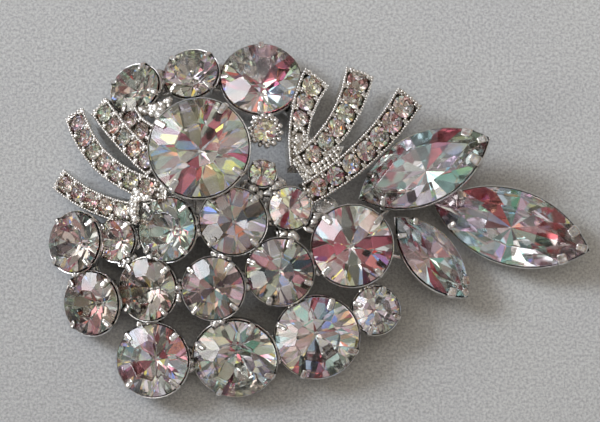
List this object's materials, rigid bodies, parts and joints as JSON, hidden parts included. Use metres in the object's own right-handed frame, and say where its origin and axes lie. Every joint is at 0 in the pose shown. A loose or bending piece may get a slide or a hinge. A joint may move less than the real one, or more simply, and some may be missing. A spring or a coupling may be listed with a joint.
{
  "type": "brooch",
  "caption": "Domed cluster brooch of round cut stones in claw cups, pointed oval stones and strips of small stones, in silver-coloured metal with a hidden pin back.",
  "frame": {"origin": "point on the surface that the brooch lies on, under the middle of its box", "axes": "+X along the length towards the pointed oval stones, +Y across it towards the fan of strips, +Z out of the front, away from the cloth"},
  "size_m": [0.0774, 0.0524, 0.0165],
  "materials": {
    "setting_metal": "bright white plating",
    "pin_metal": "bright white plating",
    "clear_stone": "clear cut glass with a foiled back",
    "small_stone": "clear cut glass with a foiled back"
  },
  "bodies": {
    "root": {"metalwork": "setting_metal", "pin_back": "pin_metal", "main_stone": "clear_stone", "stone_02": "clear_stone", "stone_03": "clear_stone", "stone_04": "clear_stone", "stone_05": "clear_stone", "stone_06": "clear_stone", "stone_07": "clear_stone", "stone_08": "clear_stone", "stone_09": "clear_stone", "stone_10": "clear_stone", "stone_11": "clear_stone", "stone_12": "clear_stone", "stone_13": "clear_stone", "stone_14": "clear_stone", "stone_15": "clear_stone", "stone_16": "clear_stone", "stone_17": "clear_stone", "stone_18": "clear_stone", "stone_19": "clear_stone", "stone_20": "clear_stone", "navette_upper": "clear_stone", "navette_lower": "clear_stone", "navette_small": "clear_stone", "pave_left_long": "small_stone", "pave_left_upper": "small_stone", "pave_left_short": "small_stone", "pave_left_lower": "small_stone", "pave_fan_left": "small_stone", "pave_fan_middle": "small_stone", "pave_fan_right": "small_stone"}
  },
  "joints": []
}
